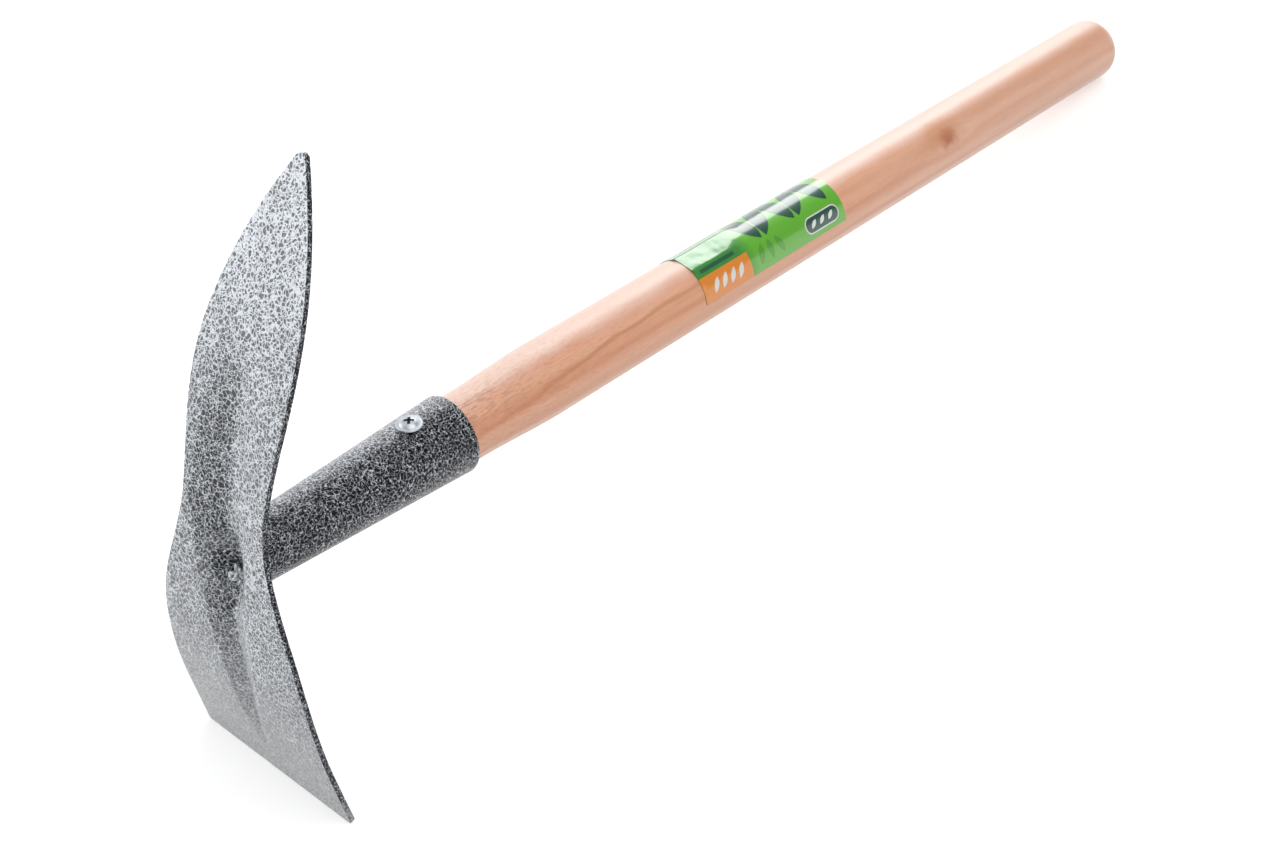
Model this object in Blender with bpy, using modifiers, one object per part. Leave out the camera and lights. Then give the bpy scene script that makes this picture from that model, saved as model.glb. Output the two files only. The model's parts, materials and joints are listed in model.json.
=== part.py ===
"""Combination hoe: a pressed double blade, a tapered steel socket welded to its back
and a turned wooden handle held in the socket by one screw.

Every piece is modelled in the tool's own axes: the handle runs along +X from the mouth
of the socket, the leaf of the blade points to +Z and Y is across. The whole tool is then
laid down on its cutting edge and the end of its handle, over the middle of the ground.
"""

import math

import bmesh
import bpy
from mathutils import Vector

MM = 0.001

# Clearance left between neighbouring pieces
FIT_GAP = 0.3 * MM

# Blade outline, measured along the sheet up and down from the handle's axis
BLADE_THICKNESS = 2.3 * MM
LEAF_ARM_LENGTH = 163 * MM
HOE_ARM_LENGTH = 114.5 * MM
CUTTING_EDGE_WIDTH = 84.4 * MM
CUTTING_EDGE_FLARE = 0.062
SHOULDER_WIDTH = 73.8 * MM
SHOULDER_DROP = 31 * MM
SHOULDER_FLARE = 0.188
WAIST_WIDTH = 43.3 * MM
WAIST_RISE = 30 * MM
LEAF_WIDTH = 49 * MM
LEAF_BELLY_RISE = 79 * MM
TIP_TAPER = 0.54
TIP_RADIUS = 2.5 * MM
CORNER_RADIUS = 1.6 * MM
RIM_ROUNDING = 0.35 * MM
RIM_EDGE_ANGLE = math.radians(50)

# Blade bend, an arc that is foremost a little below the handle's axis, with straight ends
BEND_RADIUS = 264 * MM
BEND_APEX_DROP = 14.8 * MM
LEAF_BEND_LENGTH = 115 * MM
HOE_BEND_LENGTH = 71 * MM

# Stiffening rib, a V pressed back along the middle of both arms
RIB_DEPTH = 4 * MM
RIB_LEAF_END = 94 * MM
RIB_LEAF_RAMP = 66 * MM
RIB_HOE_END = 97 * MM
RIB_HOE_RAMP = 52 * MM
RIB_LEAF_END_WIDTH = 30 * MM
RIB_WAIST_WIDTH = 40 * MM
RIB_HOE_WIDTH = 23 * MM
RIB_HOE_END_WIDTH = 9 * MM
RIB_LARGEST_SHARE = 0.93
RIB_VALLEY_SOFTNESS = 0.1
RIB_WALL_POWER = 1.15

# Dent at the neck, pressed deeper than the rib so that it centres the socket
DENT_DEPTH = 7 * MM
DENT_DROP = 1 * MM
DENT_HEIGHT = 44 * MM
DENT_WIDTH = 22 * MM
DENT_WALL_POWER = 1.7

# Socket, a tapered tube
SOCKET_LENGTH = 111 * MM
SOCKET_MOUTH_DIAMETER = 33 * MM
SOCKET_NECK_DIAMETER = 23.5 * MM
SOCKET_WALL = 2 * MM
SOCKET_LIP_ROUNDING = 0.7 * MM

# Weld between the socket and the back of the blade
WELD_LEG = 4.2 * MM
WELD_CROWN = 0.7 * MM

# Handle, thinning a little towards its free end
HANDLE_FULL_DIAMETER = 31.4 * MM
HANDLE_END_DIAMETER = 28.8 * MM
HANDLE_REACH = 438 * MM
HANDLE_NECK_LENGTH = 6 * MM
HANDLE_SWELL_LENGTH = 44 * MM
HANDLE_END_ROUNDING = 9 * MM
TENON_LENGTH = 76 * MM
TENON_CHAMFER = 2 * MM

# Screw through the socket into the handle
SCREW_FROM_MOUTH = 21 * MM
SCREW_LENGTH = 20 * MM
SCREW_SHANK_DIAMETER = 4.2 * MM
SCREW_POINT_LENGTH = 4 * MM
SCREW_HEAD_DIAMETER = 10.6 * MM
SCREW_HEAD_HEIGHT = 2.4 * MM
SCREW_FLANGE_THICKNESS = 0.8 * MM
SCREW_CROWN_DIAMETER = 8 * MM
RECESS_SPAN = 4.4 * MM
RECESS_SLOT = 1.1 * MM
RECESS_DEPTH = 1.7 * MM

# Label wrapped part of the way round the handle
LABEL_START = 132 * MM
LABEL_LENGTH = 91.5 * MM
LABEL_THICKNESS = 0.2 * MM
LABEL_NEAR_EDGE = math.radians(80)
LABEL_WRAP = math.radians(220)
LABEL_SKEW = 0.035

# Fineness of the round and pressed surfaces
TURNED_STEPS = 64
SCREW_STEPS = 32
RIB_COLUMNS = (0, 0.05, 0.11, 0.18, 0.26, 0.35, 0.46, 0.58, 0.72, 0.86, 1)
FLANGE_COLUMNS = (0.3, 0.65, 1)
DENT_ROW = 2.5 * MM
RIB_ROW = 4.5 * MM
FLAT_ROW = 6.5 * MM
SEAT_ROW = 1.2 * MM
TIP_LAST_ANGLE = math.radians(76)
ROUNDING_STEPS = 4
DOME_STEPS = 8
SWELL_STEPS = 12
LABEL_STEPS = 4
WELD_CROWN_SHARES = (0.25, 0.5, 0.75)
SMOOTH_ANGLE = math.radians(40)
MERGE_DISTANCE = 0.01 * MM

# Search for a place on the back of the sheet
SLOPE_STEP = 0.05 * MM
SEARCH_ROUNDS = 40
SEARCH_EASING = 0.8


def new_collection(name):
    collection = bpy.data.collections.new(name)
    bpy.context.scene.collection.children.link(collection)
    return collection


def new_material(name, colour, roughness, metallic=0.0):
    material = bpy.data.materials.new(name)
    material.use_nodes = True
    shader = material.node_tree.nodes["Principled BSDF"]
    shader.inputs["Base Color"].default_value = (*colour, 1.0)
    shader.inputs["Roughness"].default_value = roughness
    shader.inputs["Metallic"].default_value = metallic
    return material


def new_object(name, mesh, collection, parent, material=None):
    piece = bpy.data.objects.new(name, mesh)
    collection.objects.link(piece)
    piece.parent = parent
    if material is not None:
        mesh.materials.append(material)
    return piece


def hide_as_cutter(piece):
    piece.display_type = "WIRE"
    piece.hide_render = True


def cut(piece, cutter):
    boolean = piece.modifiers.new("cut by " + cutter.name, "BOOLEAN")
    boolean.operation = "DIFFERENCE"
    boolean.object = cutter


def spaced(start, end, step):
    """Evenly spaced places after start, up to and including end."""
    count = max(1, round(abs(end - start) / step))
    return [start + (end - start) * i / count for i in range(1, count + 1)]


def arc(centre, radius, start, end, steps):
    """Profile points on an arc, with angles counted from the radial direction."""
    points = []
    for i in range(steps + 1):
        angle = start + (end - start) * i / steps
        points.append((centre[0] + radius * math.cos(angle), centre[1] + radius * math.sin(angle)))
    return points


def smooth_curve(knots, place):
    """Value at a place on a curve through knots of place, value and slope."""
    for (start, low, low_slope), (end, high, high_slope) in zip(knots, knots[1:]):
        if place <= end:
            break
    span = end - start
    t = min(max((place - start) / span, 0.0), 1.0)
    rise = t * t * (3 - 2 * t)
    leave = t * (1 - t) ** 2 * span * low_slope
    arrive = t * t * (t - 1) * span * high_slope
    return low + (high - low) * rise + leave + arrive


def grid_faces(bm, rows, closed_rows=False, closed_columns=False):
    """Quads over rows of vertices that all have the same length."""
    row_pairs = list(zip(rows, rows[1:]))
    if closed_rows:
        row_pairs.append((rows[-1], rows[0]))
    for low, high in row_pairs:
        columns = range(len(low) if closed_columns else len(low) - 1)
        for i in columns:
            j = (i + 1) % len(low)
            bm.faces.new((low[i], low[j], high[j], high[i]))


def finish_mesh(bm, name):
    mesh = bpy.data.meshes.new(name)
    bm.to_mesh(mesh)
    bm.free()
    mesh.shade_smooth()
    mesh.set_sharp_from_angle(angle=SMOOTH_ANGLE)
    return mesh


def turned(name, profile, collection, parent, material=None, closed=False, steps=TURNED_STEPS):
    """A profile of radius and height, top to bottom on its outer side, turned about Z."""
    bm = bmesh.new()
    verts = [bm.verts.new((radius, 0.0, height)) for radius, height in profile]
    pairs = list(zip(verts, verts[1:]))
    if closed:
        pairs.append((verts[-1], verts[0]))
    for start, end in pairs:
        bm.edges.new((start, end))
    mesh = bpy.data.meshes.new(name)
    bm.to_mesh(mesh)
    bm.free()
    piece = new_object(name, mesh, collection, parent, material)
    screw = piece.modifiers.new("turn", "SCREW")
    screw.axis = "Z"
    screw.steps = steps
    screw.render_steps = steps
    screw.use_merge_vertices = True
    screw.merge_threshold = MERGE_DISTANCE
    screw.use_smooth_shade = True
    return piece


# Blade surface

def neck_place():
    """X of the sheet's plain front face on the handle's axis."""
    return -(SOCKET_LENGTH + FIT_GAP + BLADE_THICKNESS)


def bend_line(s):
    """Place and lean of the sheet's front face at s, from the neck, in the plane Y = 0."""
    lean_at_neck = BEND_APEX_DROP / BEND_RADIUS
    along = s + BEND_APEX_DROP
    bent = min(max(along, -HOE_BEND_LENGTH), LEAF_BEND_LENGTH)
    straight = along - bent
    lean = bent / BEND_RADIUS
    x = BEND_RADIUS * (math.cos(lean_at_neck) - math.cos(lean)) + straight * math.sin(lean)
    z = BEND_RADIUS * (math.sin(lean) - math.sin(lean_at_neck)) + straight * math.cos(lean)
    return x, z, lean


def tip_half_angle():
    return math.atan(TIP_TAPER)


def blade_half_width(s):
    unrounded_tip = LEAF_ARM_LENGTH + TIP_RADIUS * (1 / math.sin(tip_half_angle()) - 1)
    outline = (
        (-HOE_ARM_LENGTH, CUTTING_EDGE_WIDTH / 2, -CUTTING_EDGE_FLARE),
        (-SHOULDER_DROP, SHOULDER_WIDTH / 2, -SHOULDER_FLARE),
        (WAIST_RISE, WAIST_WIDTH / 2, 0.0),
        (LEAF_BELLY_RISE, LEAF_WIDTH / 2, 0.0),
        (unrounded_tip, 0.0, -TIP_TAPER),
    )
    half = smooth_curve(outline, s)
    tip_centre = LEAF_ARM_LENGTH - TIP_RADIUS
    if s > tip_centre + TIP_RADIUS * math.sin(tip_half_angle()):
        half = math.sqrt(max(TIP_RADIUS ** 2 - (s - tip_centre) ** 2, 0.0))
    above_edge = s + HOE_ARM_LENGTH
    if above_edge < CORNER_RADIUS:
        half -= CORNER_RADIUS - math.sqrt(CORNER_RADIUS ** 2 - (CORNER_RADIUS - above_edge) ** 2)
    return half


def rib_half_width(s):
    widths = (
        (-RIB_HOE_END, RIB_HOE_END_WIDTH / 2, 0.0),
        (-SHOULDER_DROP, RIB_HOE_WIDTH / 2, 0.0),
        (WAIST_RISE, RIB_WAIST_WIDTH / 2, 0.0),
        (RIB_LEAF_END, RIB_LEAF_END_WIDTH / 2, 0.0),
    )
    return min(smooth_curve(widths, s), RIB_LARGEST_SHARE * blade_half_width(s))


def rib_strength(s):
    """Share of the rib's full depth at s, nothing past either end."""
    to_leaf_end = min(max((RIB_LEAF_END - s) / RIB_LEAF_RAMP, 0.0), 1.0)
    to_hoe_end = min(max((RIB_HOE_END + s) / RIB_HOE_RAMP, 0.0), 1.0)
    return math.sin(0.5 * math.pi * to_leaf_end) * math.sin(0.5 * math.pi * to_hoe_end)


def press_depth(s, y):
    """How far the sheet is pressed back from its plain bend."""
    across = min(abs(y) / rib_half_width(s), 1.0)
    soft = RIB_VALLEY_SOFTNESS
    wall = (math.hypot(across, soft) - soft) / (math.hypot(1.0, soft) - soft)
    depth = RIB_DEPTH * rib_strength(s) * (1 - wall) ** RIB_WALL_POWER
    from_dent = math.hypot((s + DENT_DROP) / (DENT_HEIGHT / 2), y / (DENT_WIDTH / 2))
    if from_dent < 1:
        depth += DENT_DEPTH * (1 - from_dent ** 2) ** DENT_WALL_POWER
    return depth


def front_point(s, y):
    x, z, lean = bend_line(s)
    depth = press_depth(s, y)
    return Vector((x + depth * math.cos(lean), y, z - depth * math.sin(lean)))


def back_point(s, y, clearance=0.0):
    """Point behind the front face by the sheet's thickness and a clearance."""
    along = front_point(s + SLOPE_STEP, y) - front_point(s - SLOPE_STEP, y)
    across = front_point(s, y + SLOPE_STEP) - front_point(s, y - SLOPE_STEP)
    backwards = across.cross(along).normalized()
    return front_point(s, y) + backwards * (BLADE_THICKNESS + clearance)


def back_face_at(y, z, clearance):
    """X of the back face, with a clearance, behind a place given by Y and Z."""
    s = z
    across = y
    for _ in range(SEARCH_ROUNDS):
        point = back_point(s, across, clearance)
        s += SEARCH_EASING * (z - point.z)
        across += SEARCH_EASING * (y - point.y)
    return point.x


def blade_rows():
    """Places of the rows of the sheet, from the cutting edge to the tip."""
    quarter = math.pi / 2
    dent_low = -DENT_DROP - DENT_HEIGHT / 2
    dent_high = -DENT_DROP + DENT_HEIGHT / 2
    tip_centre = LEAF_ARM_LENGTH - TIP_RADIUS
    tip_start = tip_centre + TIP_RADIUS * math.sin(tip_half_angle())
    rows = []
    for i in range(ROUNDING_STEPS + 1):
        rows.append(-HOE_ARM_LENGTH + CORNER_RADIUS * (1 - math.cos(quarter * i / ROUNDING_STEPS)))
    rows += spaced(rows[-1], -RIB_HOE_END, RIB_ROW)
    rows += spaced(-RIB_HOE_END, dent_low, RIB_ROW)
    rows += spaced(dent_low, dent_high, DENT_ROW)
    rows += spaced(dent_high, RIB_LEAF_END, RIB_ROW)
    rows += spaced(RIB_LEAF_END, tip_start, FLAT_ROW)
    angle_step = (TIP_LAST_ANGLE - tip_half_angle()) / ROUNDING_STEPS
    for angle in spaced(tip_half_angle(), TIP_LAST_ANGLE, angle_step):
        rows.append(tip_centre + TIP_RADIUS * math.sin(angle))
    return rows


def blade_columns(s):
    """Distances from the middle of the sheet at s, close together over the rib."""
    rib = rib_half_width(s)
    flange = blade_half_width(s) - rib
    return [rib * share for share in RIB_COLUMNS] + [rib + flange * share for share in FLANGE_COLUMNS]


def make_blade(collection, parent, material):
    bm = bmesh.new()
    rows = []
    for s in blade_rows():
        rows.append([bm.verts.new(front_point(s, y)) for y in blade_columns(s)])
    grid_faces(bm, rows)
    mesh = finish_mesh(bm, "blade")
    blade = new_object("blade", mesh, collection, parent, material)
    mirror = blade.modifiers.new("other half", "MIRROR")
    mirror.use_axis = (False, True, False)
    mirror.merge_threshold = MERGE_DISTANCE
    sheet = blade.modifiers.new("sheet", "SOLIDIFY")
    sheet.thickness = BLADE_THICKNESS
    sheet.offset = 1
    sheet.use_even_offset = True
    rim = blade.modifiers.new("rim", "BEVEL")
    rim.width = RIM_ROUNDING
    rim.segments = 2
    rim.limit_method = "ANGLE"
    rim.angle_limit = RIM_EDGE_ANGLE
    return blade


def make_blade_seat_cutter(collection, parent):
    """Everything in front of the blade's back face, round the neck, with the clearance."""
    reach = SOCKET_NECK_DIAMETER / 2 + WELD_LEG
    columns = [0.0] + spaced(0.0, reach, SEAT_ROW)
    columns = [-y for y in reversed(columns[1:])] + columns
    bm = bmesh.new()
    rows = []
    for s in [-reach] + spaced(-reach, reach, SEAT_ROW):
        rows.append([bm.verts.new(back_point(s, y, FIT_GAP)) for y in columns])
    grid_faces(bm, rows)
    solid = bmesh.ops.extrude_face_region(bm, geom=bm.faces[:])
    moved = [item for item in solid["geom"] if isinstance(item, bmesh.types.BMVert)]
    bmesh.ops.translate(bm, verts=moved, vec=(-SOCKET_LENGTH, 0.0, 0.0))
    bmesh.ops.recalc_face_normals(bm, faces=bm.faces[:])
    cutter = new_object("blade_seat", finish_mesh(bm, "blade_seat"), collection, parent)
    hide_as_cutter(cutter)
    return cutter


# Socket

def socket_outer_radius(from_mouth):
    taper = (SOCKET_MOUTH_DIAMETER - SOCKET_NECK_DIAMETER) / (2 * SOCKET_LENGTH)
    return SOCKET_MOUTH_DIAMETER / 2 - taper * from_mouth


def socket_inner_radius(from_mouth):
    return socket_outer_radius(from_mouth) - SOCKET_WALL


def make_socket(collection, parent, material):
    past_blade = SOCKET_LENGTH + BLADE_THICKNESS
    lip = SOCKET_LIP_ROUNDING
    lip_centre = (socket_outer_radius(0.0) - lip, -lip)
    profile = [(socket_inner_radius(0.0), 0.0)]
    profile += arc(lip_centre, lip, math.pi / 2, 0.0, ROUNDING_STEPS)
    profile.append((socket_outer_radius(past_blade), -past_blade))
    profile.append((socket_inner_radius(past_blade), -past_blade))
    socket = turned("socket", profile, collection, parent, material, closed=True)
    socket.rotation_euler = (0.0, math.pi / 2, 0.0)
    return socket


# Weld

def beside_blade(side, radius):
    """Place with the weld's clearance to the blade, at a distance from the handle's axis."""
    back = neck_place() + back_face_at(side.y * radius, side.z * radius, FIT_GAP)
    return side * radius + Vector((back, 0.0, 0.0))


def make_weld(collection, parent, material):
    """A fillet that follows the joint of the socket and the blade's back face."""
    steps = TURNED_STEPS
    bm = bmesh.new()
    rings = []
    for i in range(steps):
        turn = 2 * math.pi * i / steps
        side = Vector((0.0, math.cos(turn), math.sin(turn)))
        first_guess = beside_blade(side, socket_outer_radius(SOCKET_LENGTH) + FIT_GAP)
        root_radius = socket_outer_radius(-first_guess.x) + FIT_GAP
        root = beside_blade(side, root_radius)
        middle = beside_blade(side, root_radius + WELD_LEG / 2)
        blade_toe = beside_blade(side, root_radius + WELD_LEG)
        tube_toe_x = root.x + WELD_LEG
        tube_toe = side * (socket_outer_radius(-tube_toe_x) + FIT_GAP) + Vector((tube_toe_x, 0, 0))
        chord = tube_toe - blade_toe
        outward = (side + Vector((1, 0, 0))).normalized()
        crown = []
        for share in WELD_CROWN_SHARES:
            bulge = outward * WELD_CROWN * math.sin(math.pi * share)
            crown.append(blade_toe + chord * share + bulge)
        section = [root, middle, blade_toe] + crown + [tube_toe]
        rings.append([bm.verts.new(point) for point in section])
    grid_faces(bm, rings, closed_rows=True, closed_columns=True)
    bmesh.ops.recalc_face_normals(bm, faces=bm.faces[:])
    return new_object("weld_bead", finish_mesh(bm, "weld_bead"), collection, parent, material)


# Handle

def handle_radius(x):
    """Radius of the handle past its swell."""
    start = HANDLE_NECK_LENGTH + HANDLE_SWELL_LENGTH
    along = (x - start) / (HANDLE_REACH - HANDLE_END_ROUNDING - start)
    return (HANDLE_FULL_DIAMETER + (HANDLE_END_DIAMETER - HANDLE_FULL_DIAMETER) * along) / 2


def make_handle(collection, parent, material):
    full_radius = HANDLE_FULL_DIAMETER / 2
    neck_radius = socket_inner_radius(0.0) - FIT_GAP
    tenon_radius = socket_inner_radius(TENON_LENGTH) - FIT_GAP
    end_centre = (HANDLE_END_DIAMETER / 2 - HANDLE_END_ROUNDING, HANDLE_REACH - HANDLE_END_ROUNDING)
    swell = ((0.0, neck_radius, 0.0), (HANDLE_SWELL_LENGTH, full_radius, 0.0))
    profile = [(0.0, HANDLE_REACH)]
    profile += arc(end_centre, HANDLE_END_ROUNDING, math.pi / 2, 0.0, DOME_STEPS)
    for i in range(SWELL_STEPS + 1):
        from_neck = HANDLE_SWELL_LENGTH * (1 - i / SWELL_STEPS)
        profile.append((smooth_curve(swell, from_neck), HANDLE_NECK_LENGTH + from_neck))
    profile.append((neck_radius, 0.0))
    profile.append((tenon_radius, TENON_CHAMFER - TENON_LENGTH))
    profile.append((tenon_radius - TENON_CHAMFER, -TENON_LENGTH))
    profile.append((0.0, -TENON_LENGTH))
    handle = turned("handle", profile, collection, parent, material)
    handle.rotation_euler = (0.0, math.pi / 2, 0.0)
    return handle


# Screw

def screw_placement():
    """Seat of the screw's head on the socket and its tilt, square to the tapered wall."""
    tilt = math.atan2(socket_outer_radius(0.0) - socket_outer_radius(SOCKET_LENGTH), SOCKET_LENGTH)
    seat = Vector((-SCREW_FROM_MOUTH, 0.0, socket_outer_radius(SCREW_FROM_MOUTH)))
    seat.z += FIT_GAP / math.cos(tilt)
    return seat, (0.0, -tilt, 0.0)


def place_as_screw(piece):
    piece.location, piece.rotation_euler = screw_placement()


def make_screw(collection, cutters, parent, material):
    head = SCREW_HEAD_DIAMETER / 2
    crown = SCREW_CROWN_DIAMETER / 2
    shank = SCREW_SHANK_DIAMETER / 2
    flange = SCREW_FLANGE_THICKNESS
    dome_height = SCREW_HEAD_HEIGHT - flange
    dome_radius = (crown ** 2 + dome_height ** 2) / (2 * dome_height)
    dome_centre = (0.0, SCREW_HEAD_HEIGHT - dome_radius)
    dome_edge = math.asin((dome_radius - dome_height) / dome_radius)
    profile = arc(dome_centre, dome_radius, math.pi / 2, dome_edge, DOME_STEPS)
    profile[0] = (0.0, SCREW_HEAD_HEIGHT)
    profile += [(head - flange / 2, flange), (head, flange / 2), (head - flange / 4, 0.0)]
    profile += [(shank, 0.0), (shank, SCREW_POINT_LENGTH - SCREW_LENGTH), (0.0, -SCREW_LENGTH)]
    screw = turned("screw", profile, collection, parent, material, steps=SCREW_STEPS)
    place_as_screw(screw)
    for i in range(2):
        bm = bmesh.new()
        bmesh.ops.create_cube(bm, size=1.0)
        for vert in bm.verts:
            span = RECESS_SPAN if vert.co.z > 0 else RECESS_SPAN / 2
            top = RECESS_DEPTH if vert.co.z > 0 else -RECESS_DEPTH
            vert.co = (vert.co.x * span, vert.co.y * RECESS_SLOT, SCREW_HEAD_HEIGHT + top)
        slot = new_object("recess_slot", finish_mesh(bm, "recess_slot"), cutters, parent)
        slot.location, tilt = screw_placement()
        slot.rotation_euler = (*tilt[:2], math.radians(45 + 90 * i))
        hide_as_cutter(slot)
        cut(screw, slot)
    return screw


def make_screw_hole(cutters, parent):
    """Clearance hole for the shank, through the socket's wall and into the handle."""
    radius = SCREW_SHANK_DIAMETER / 2 + FIT_GAP
    bottom = -SCREW_LENGTH - FIT_GAP
    shoulder = SCREW_POINT_LENGTH - SCREW_LENGTH
    profile = [(0.0, SCREW_HEAD_HEIGHT), (radius, SCREW_HEAD_HEIGHT), (radius, shoulder), (0.0, bottom)]
    hole = turned("screw_hole", profile, cutters, parent, steps=SCREW_STEPS)
    place_as_screw(hole)
    hide_as_cutter(hole)
    return hole


# Label

def make_label(collection, parent, material):
    turns = round(TURNED_STEPS * LABEL_WRAP / (2 * math.pi))
    bm = bmesh.new()
    rows = []
    for i in range(turns + 1):
        wrapped = LABEL_WRAP * i / turns
        turn = wrapped - LABEL_NEAR_EDGE
        slide = LABEL_SKEW * HANDLE_FULL_DIAMETER / 2 * wrapped
        row = []
        for j in range(LABEL_STEPS + 1):
            x = LABEL_START + slide + LABEL_LENGTH * j / LABEL_STEPS
            radius = handle_radius(x) + FIT_GAP
            row.append(bm.verts.new((x, radius * math.sin(turn), radius * math.cos(turn))))
        rows.append(row)
    grid_faces(bm, rows)
    bmesh.ops.recalc_face_normals(bm, faces=bm.faces[:])
    label = new_object("label", finish_mesh(bm, "label"), collection, parent, material)
    film = label.modifiers.new("film", "SOLIDIFY")
    film.thickness = LABEL_THICKNESS
    film.offset = 1
    return label


# Resting place

def resting_tilt():
    """Turn about Y that brings the cutting edge and the end of the handle level."""
    x, z, lean = bend_line(-HOE_ARM_LENGTH)
    inset = Vector((math.cos(lean) + math.sin(lean), math.cos(lean) - math.sin(lean)))
    edge = Vector((neck_place() + x, z)) + inset * RIM_ROUNDING
    end = Vector((HANDLE_REACH - HANDLE_END_ROUNDING, HANDLE_END_ROUNDING - HANDLE_END_DIAMETER / 2))
    apart = end - edge
    slope = math.atan2(apart.y, apart.x)
    return slope - math.asin((HANDLE_END_ROUNDING - RIM_ROUNDING) / apart.length)


def lay_down(root, pieces):
    """Tilt the tool, then set the middle of its footprint on the origin."""
    root.rotation_euler = (0.0, resting_tilt(), 0.0)
    bpy.context.view_layer.update()
    depsgraph = bpy.context.evaluated_depsgraph_get()
    corners = []
    for piece in pieces:
        evaluated = piece.evaluated_get(depsgraph)
        mesh = evaluated.to_mesh()
        corners += [evaluated.matrix_world @ vert.co for vert in mesh.vertices]
        evaluated.to_mesh_clear()
    low = Vector([min(corner[axis] for corner in corners) for axis in range(3)])
    high = Vector([max(corner[axis] for corner in corners) for axis in range(3)])
    root.location = (-(low.x + high.x) / 2, -(low.y + high.y) / 2, -low.z)
    bpy.context.view_layer.update()


def build():
    for piece in list(bpy.data.objects):
        bpy.data.objects.remove(piece, do_unlink=True)
    hoe = new_collection("combination_hoe")
    cutters = new_collection("cutters")
    root = bpy.data.objects.new("hoe", None)
    hoe.objects.link(root)

    blade_paint = new_material("blade paint", (0.42, 0.44, 0.46), 0.35, 0.6)
    socket_paint = new_material("socket paint", (0.16, 0.17, 0.19), 0.35, 0.6)
    weld_paint = new_material("weld paint", (0.14, 0.15, 0.17), 0.4, 0.6)
    wood = new_material("turned wood", (0.78, 0.53, 0.38), 0.55)
    zinc = new_material("zinc plating", (0.75, 0.77, 0.78), 0.3, 1.0)
    film = new_material("label film", (0.13, 0.40, 0.05), 0.2)

    blade = make_blade(hoe, root, blade_paint)
    blade.location = (neck_place(), 0.0, 0.0)
    blade_seat = make_blade_seat_cutter(cutters, root)
    blade_seat.location = blade.location
    socket = make_socket(hoe, root, socket_paint)
    cut(socket, blade_seat)
    weld = make_weld(hoe, root, weld_paint)
    handle = make_handle(hoe, root, wood)
    screw = make_screw(hoe, cutters, root, zinc)
    screw_hole = make_screw_hole(cutters, root)
    cut(socket, screw_hole)
    cut(handle, screw_hole)
    label = make_label(hoe, root, film)
    lay_down(root, (blade, socket, weld, handle, screw, label))


build()
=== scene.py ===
"""Combination hoe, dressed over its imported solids: hammered enamel on the blade, the socket
and their weld, a turned wooden handle, a zinc-plated screw and a glossy printed label.
"""
import json
import math

import bmesh
import bpy
from mathutils import Matrix, Quaternion, Vector

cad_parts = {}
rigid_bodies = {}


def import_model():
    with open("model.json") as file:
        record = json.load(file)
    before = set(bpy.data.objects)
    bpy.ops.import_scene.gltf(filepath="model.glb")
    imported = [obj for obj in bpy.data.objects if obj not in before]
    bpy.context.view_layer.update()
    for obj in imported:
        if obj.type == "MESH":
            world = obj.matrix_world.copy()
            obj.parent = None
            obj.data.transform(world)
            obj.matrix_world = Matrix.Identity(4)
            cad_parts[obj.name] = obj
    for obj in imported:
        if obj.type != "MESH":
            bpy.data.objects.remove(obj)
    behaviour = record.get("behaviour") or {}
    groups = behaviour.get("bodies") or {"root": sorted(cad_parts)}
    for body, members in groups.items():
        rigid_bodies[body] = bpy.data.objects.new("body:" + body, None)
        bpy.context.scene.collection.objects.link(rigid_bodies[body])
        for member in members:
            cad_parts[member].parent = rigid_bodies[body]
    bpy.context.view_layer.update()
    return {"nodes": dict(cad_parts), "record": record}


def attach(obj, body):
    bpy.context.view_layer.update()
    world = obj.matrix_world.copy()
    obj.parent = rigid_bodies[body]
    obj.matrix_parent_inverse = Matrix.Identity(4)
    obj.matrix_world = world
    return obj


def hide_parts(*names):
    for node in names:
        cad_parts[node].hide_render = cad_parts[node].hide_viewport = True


for leftover in list(bpy.data.objects):
    bpy.data.objects.remove(leftover)
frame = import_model()


# Blade
# One sheet of 2.3 mm steel, pressed to a pointed leaf and a wide hoe with a stiffening rib
# between them. Its silver hammered enamel has pale raised veins round dark pits, which are
# painted wider and darker, as painted shade, on faces turned away from the left panel and on
# the sheared rim.

MM = 0.001
JOIN_DISTANCE = 0.002 * MM
CREASE_ANGLE = math.radians(38)
RIM_LEAN = 0.6
DENT_REACH = 13 * MM
DENT_TOP = 190 * MM

SHEET_PIT_WIDTH = 2.8 * MM
DARK_PIT_WIDTH = 2.5 * MM
SMALL_PIT_SHARE = 0.62
PIT_STRETCH = 0.85
PIT_WANDER_SCALE = 1.3
PIT_WANDER_SHARE = 0.9
PIT_DEPTH = 0.4 * MM
SHEET_PIT_SHARE = 1.1
# Wider pits on the sheared rim, as painted shade
RIM_PAINTED_SHADE_PIT_SHARE = 2.0
PATCH_WIDTH = 9 * MM
SPECK_WIDTH = 0.8 * MM
SPECK_SHARE = 0.11
VEIN_END = 0.045
PIT_START = 0.1
SLOPE_START = -0.02
SLOPE_END = 0.2

SHEET_EVEN_HEIGHT = 95 * MM
DARK_EVEN_HEIGHT = 20 * MM
SHEET_LEAF_HEIGHT = 170 * MM
ABOVE_TOOL = 300 * MM
LEAF_FADE_HEIGHT = 60 * MM
LEAF_PIT_SHARE = 0.61
EDGE_COVER = 0.38

# Painted shade: pits open wider and darker on faces turned away from this side, that of the left
# panel
PAINTED_LIGHT_FROM = Vector((-0.52, 0.80, 0.30))
PAINTED_SHADE_FADE = 0.4
SHEET_PAINTED_SHADE_FACING = 0.26
PAINTED_SHADE_PIT_SHARE = 2.2
PAINTED_LIGHT_PIT_SHARE = 1.0
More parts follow.
